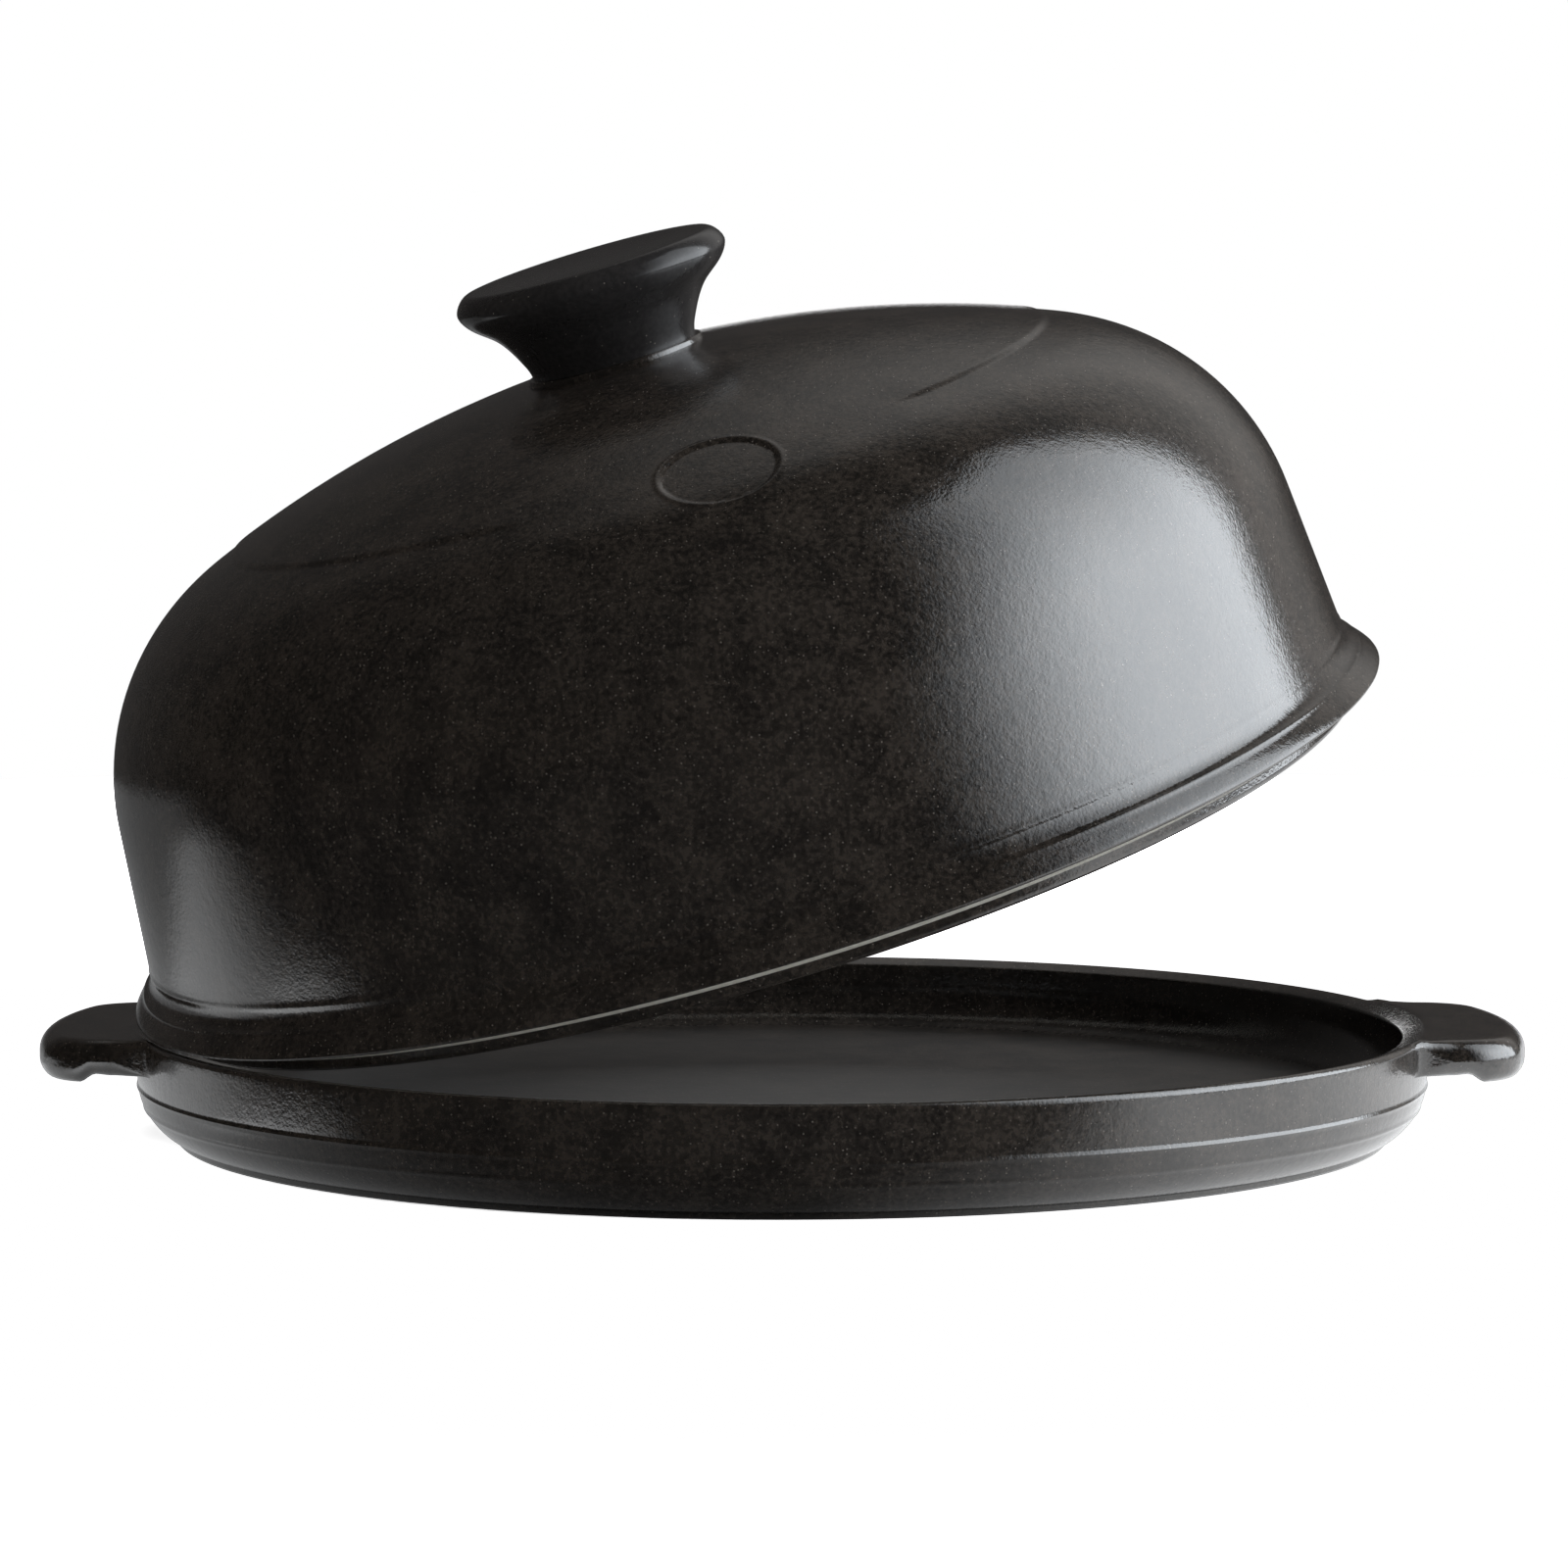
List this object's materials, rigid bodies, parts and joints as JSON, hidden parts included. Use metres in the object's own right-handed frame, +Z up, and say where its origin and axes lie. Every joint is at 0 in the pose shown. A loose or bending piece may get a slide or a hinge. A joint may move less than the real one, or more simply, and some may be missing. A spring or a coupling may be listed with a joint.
{
  "type": "bread cloche",
  "caption": "Round glazed stoneware baking dish with two flat side handles under a high domed lid with a flared knob, the lid tipped open on the rim.",
  "frame": {"origin": "centre of the flat underside of the base dish", "axes": "+X through the two handles to the viewer's right, +Y away from the viewer, +Z up"},
  "size_m": [0.334, 0.2919, 0.2042],
  "materials": {
    "dish_glaze": "gloss",
    "lid_glaze": "gloss",
    "knob_glaze": "gloss"
  },
  "bodies": {
    "base": {"base_dish": "dish_glaze"},
    "lid": {"dome_lid": "lid_glaze", "lid_knob": "knob_glaze"}
  },
  "joints": [
    {"name": "lid_tip", "type": "hinge", "parent": "base", "child": "lid", "pos_m": [-0.13182, -0.05869, 0.0253], "axis": [0.4067, -0.9135, 0], "range_deg": [-17.8, 42.2]}
  ]
}
